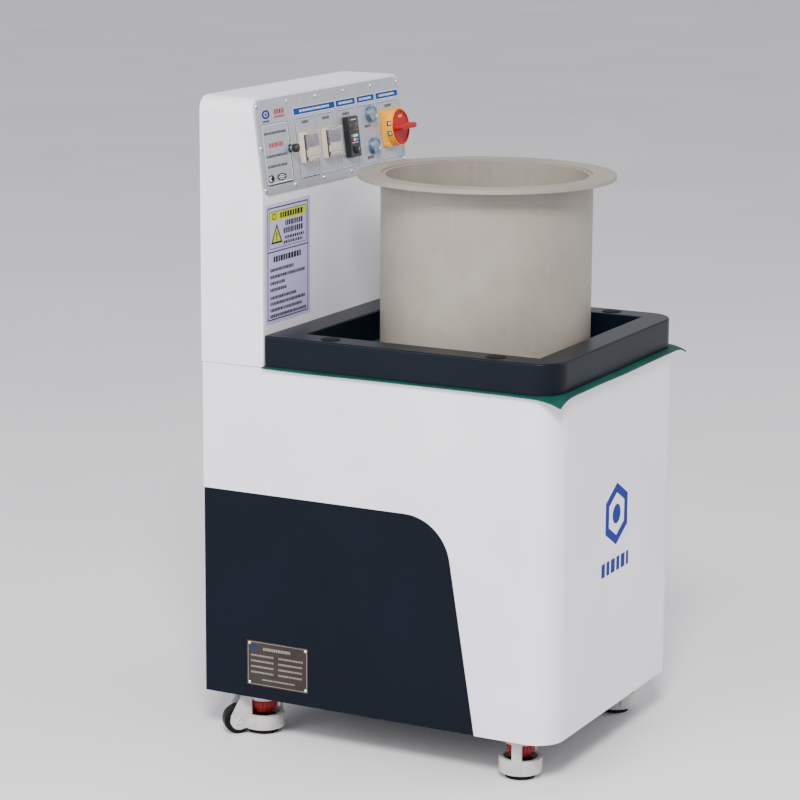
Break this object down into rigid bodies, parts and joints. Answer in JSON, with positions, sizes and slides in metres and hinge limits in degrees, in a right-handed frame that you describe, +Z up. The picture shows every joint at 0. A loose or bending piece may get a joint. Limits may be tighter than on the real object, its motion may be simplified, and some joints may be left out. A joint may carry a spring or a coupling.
{
  "type": "magnetic tumbler",
  "caption": "Drum-type magnetic tumbler: a lift-off tub in a guard rail on a cabinet with a rear control tower, on levelling casters.",
  "frame": {"origin": "centre of the bounding box at floor level, under the cabinet", "axes": "+Z up, +Y from the operator's end towards the control tower, +X to the operator's right"},
  "size_m": [0.536, 0.688, 1.1095],
  "materials": {
    "white_paint": "satin",
    "navy_paint": "satin",
    "rail_paint": "satin",
    "frame_paint": "satin",
    "stainless": "brushed",
    "zinc_steel": "bright",
    "green_mat": "matte",
    "tub_plastic": "smooth",
    "panel_metal": "brushed",
    "black_plastic": "satin",
    "black_rubber": "matte",
    "cream_plastic": "satin",
    "clear_plastic": "clear",
    "chrome_bezel": "polished",
    "start_lens": "gloss",
    "stop_lens": "gloss",
    "isolator_yellow": "satin",
    "isolator_red": "satin",
    "grey_plastic": "satin",
    "motor_grey": "painted",
    "rotor_steel": "machined",
    "disc_alloy": "machined",
    "magnet_nickel": "plated",
    "plate_steel": "etched",
    "caster_paint": "cast",
    "dial_red": "satin",
    "wheel_black": "smooth",
    "brass_gland": "nickelled"
  },
  "bodies": {
    "base": {"button_bodies": "chrome_bezel", "cabinet_shell": "white_paint", "cable_gland": "brass_gland", "caster_plates": "zinc_steel", "control_panel": "panel_metal", "cover_screws": "zinc_steel", "deck_plate": "stainless", "frame": "frame_paint", "frame_bolts": "zinc_steel", "fuse_holder": "black_plastic", "guard_rail": "rail_paint", "inverter": "grey_plastic", "isolator_housing": "isolator_yellow", "isolator_switch": "grey_plastic", "keypad": "black_plastic", "mat": "green_mat", "motor_body": "motor_grey", "motor_fan_cover": "motor_grey", "motor_plate": "rotor_steel", "nameplate": "plate_steel", "nameplate_rivets": "zinc_steel", "rail_plugs": "black_plastic", "rear_panel": "navy_paint", "side_panel_left": "navy_paint", "side_panel_right": "navy_paint", "terminal_box": "motor_grey", "timer_bodies": "cream_plastic", "tower_rear_cover": "white_paint", "tower_shell": "white_paint"},
    "tub": {"tub_shell": "tub_plastic", "tub_floor": "tub_plastic", "tub_flange": "tub_plastic"},
    "rotor": {"rotor_shaft": "rotor_steel", "motor_fan": "black_plastic", "disc_hub": "rotor_steel", "magnet_disc": "disc_alloy", "magnets": "magnet_nickel"},
    "isolator_handle": {"isolator_knob": "isolator_red"},
    "start_cap": {"start_button": "start_lens"},
    "stop_cap": {"stop_button": "stop_lens"},
    "speed_knob": {"keypad_knob": "black_plastic"},
    "fuse_carrier": {"fuse_cap": "black_plastic"},
    "timer_1_lid": {"timer_1_cover": "clear_plastic"},
    "timer_2_lid": {"timer_2_cover": "clear_plastic"},
    "caster_rear_left": {"caster_rear_left_fork": "caster_paint"},
    "caster_rear_left_wheel": {"caster_rear_left_wheel": "wheel_black"},
    "caster_rear_left_dial": {"caster_rear_left_dial": "dial_red"},
    "caster_rear_left_foot": {"caster_rear_left_foot": "black_rubber"},
    "caster_front_left": {"caster_front_left_fork": "caster_paint"},
    "caster_front_left_wheel": {"caster_front_left_wheel": "wheel_black"},
    "caster_front_left_dial": {"caster_front_left_dial": "dial_red"},
    "caster_front_left_foot": {"caster_front_left_foot": "black_rubber"},
    "caster_front_right": {"caster_front_right_fork": "caster_paint"},
    "caster_front_right_wheel": {"caster_front_right_wheel": "wheel_black"},
    "caster_front_right_dial": {"caster_front_right_dial": "dial_red"},
    "caster_front_right_foot": {"caster_front_right_foot": "black_rubber"},
    "caster_rear_right": {"caster_rear_right_fork": "caster_paint"},
    "caster_rear_right_wheel": {"caster_rear_right_wheel": "wheel_black"},
    "caster_rear_right_dial": {"caster_rear_right_dial": "dial_red"},
    "caster_rear_right_foot": {"caster_rear_right_foot": "black_rubber"}
  },
  "joints": [
    {"name": "tub_lift", "type": "slide", "parent": "base", "child": "tub", "axis": [0, 0, 1], "range_m": [0, 0.1]},
    {"name": "disc_spin", "type": "hinge", "parent": "base", "child": "rotor", "pos_m": [0, -0.0648, 0.616], "axis": [0, 0, 1], "continuous": true},
    {"name": "isolator_turn", "type": "hinge", "parent": "base", "child": "isolator_handle", "pos_m": [0.209, 0.20247, 1.01796], "axis": [0, -0.9918, 0.1282], "range_deg": [-90, 0]},
    {"name": "start_press", "type": "slide", "parent": "base", "child": "start_cap", "axis": [0, 0.9918, -0.1282], "range_m": [0, 0.003], "stiffness_N_per_m": 400},
    {"name": "stop_press", "type": "slide", "parent": "base", "child": "stop_cap", "axis": [0, 0.9918, -0.1282], "range_m": [0, 0.003], "stiffness_N_per_m": 400},
    {"name": "speed_turn", "type": "hinge", "parent": "base", "child": "speed_knob", "pos_m": [0.052, 0.19927, 0.99316], "axis": [0, 0.9918, -0.1282], "range_deg": [0, 270]},
    {"name": "fuse_turn", "type": "hinge", "parent": "base", "child": "fuse_carrier", "pos_m": [-0.157, 0.2026, 1.01895], "axis": [0, -0.9918, 0.1282], "range_deg": [0, 90]},
    {"name": "timer_1_lid_swing", "type": "hinge", "parent": "base", "child": "timer_1_lid", "pos_m": [-0.098, 0.20203, 1.03949], "axis": [-1, 0, 0], "range_deg": [0, 110]},
    {"name": "timer_2_lid_swing", "type": "hinge", "parent": "base", "child": "timer_2_lid", "pos_m": [-0.02, 0.20203, 1.03949], "axis": [-1, 0, 0], "range_deg": [0, 110]},
    {"name": "caster_rear_left_swivel", "type": "hinge", "parent": "base", "child": "caster_rear_left", "pos_m": [-0.198, 0.243, 0.0755], "axis": [0, 0, 1], "continuous": true},
    {"name": "caster_rear_left_roll", "type": "hinge", "parent": "caster_rear_left", "child": "caster_rear_left_wheel", "pos_m": [-0.23194, 0.27694, 0.0255], "axis": [-0.7071, -0.7071, 0], "continuous": true},
    {"name": "caster_rear_left_dial_turn", "type": "hinge", "parent": "caster_rear_left", "child": "caster_rear_left_dial", "pos_m": [-0.198, 0.243, 0.046], "axis": [0, 0, 1], "range_deg": [0, 1080]},
    {"name": "caster_rear_left_foot_drop", "type": "slide", "parent": "caster_rear_left", "child": "caster_rear_left_foot", "axis": [0, 0, 1], "range_m": [-0.009, 0]},
    {"name": "caster_front_left_swivel", "type": "hinge", "parent": "base", "child": "caster_front_left", "pos_m": [-0.198, -0.251, 0.0755], "axis": [0, 0, 1], "continuous": true},
    {"name": "caster_front_left_roll", "type": "hinge", "parent": "caster_front_left", "child": "caster_front_left_wheel", "pos_m": [-0.15153, -0.23898, 0.0255], "axis": [-0.2504, 0.9681, 0], "continuous": true},
    {"name": "caster_front_left_dial_turn", "type": "hinge", "parent": "caster_front_left", "child": "caster_front_left_dial", "pos_m": [-0.198, -0.251, 0.046], "axis": [0, 0, 1], "range_deg": [0, 1080]},
    {"name": "caster_front_left_foot_drop", "type": "slide", "parent": "caster_front_left", "child": "caster_front_left_foot", "axis": [0, 0, 1], "range_m": [-0.009, 0]},
    {"name": "caster_front_right_swivel", "type": "hinge", "parent": "base", "child": "caster_front_right", "pos_m": [0.198, -0.251, 0.0755], "axis": [0, 0, 1], "continuous": true},
    {"name": "caster_front_right_roll", "type": "hinge", "parent": "caster_front_right", "child": "caster_front_right_wheel", "pos_m": [0.22553, -0.21168, 0.0255], "axis": [-0.8192, 0.5736, 0], "continuous": true},
    {"name": "caster_front_right_dial_turn", "type": "hinge", "parent": "caster_front_right", "child": "caster_front_right_dial", "pos_m": [0.198, -0.251, 0.046], "axis": [0, 0, 1], "range_deg": [0, 1080]},
    {"name": "caster_front_right_foot_drop", "type": "slide", "parent": "caster_front_right", "child": "caster_front_right_foot", "axis": [0, 0, 1], "range_m": [-0.009, 0]},
    {"name": "caster_rear_right_swivel", "type": "hinge", "parent": "base", "child": "caster_rear_right", "pos_m": [0.198, 0.243, 0.0755], "axis": [0, 0, 1], "continuous": true},
    {"name": "caster_rear_right_roll", "type": "hinge", "parent": "caster_rear_right", "child": "caster_rear_right_wheel", "pos_m": [0.1529, 0.25942, 0.0255], "axis": [-0.342, -0.9397, 0], "continuous": true},
    {"name": "caster_rear_right_dial_turn", "type": "hinge", "parent": "caster_rear_right", "child": "caster_rear_right_dial", "pos_m": [0.198, 0.243, 0.046], "axis": [0, 0, 1], "range_deg": [0, 1080]},
    {"name": "caster_rear_right_foot_drop", "type": "slide", "parent": "caster_rear_right", "child": "caster_rear_right_foot", "axis": [0, 0, 1], "range_m": [-0.009, 0]}
  ],
  "couplings": [
    {"joint": "caster_rear_left_foot_drop", "follows": "caster_rear_left_dial_turn", "m_per_rad": -0.00047746},
    {"joint": "caster_front_left_foot_drop", "follows": "caster_front_left_dial_turn", "m_per_rad": -0.00047746},
    {"joint": "caster_front_right_foot_drop", "follows": "caster_front_right_dial_turn", "m_per_rad": -0.00047746},
    {"joint": "caster_rear_right_foot_drop", "follows": "caster_rear_right_dial_turn", "m_per_rad": -0.00047746}
  ]
}
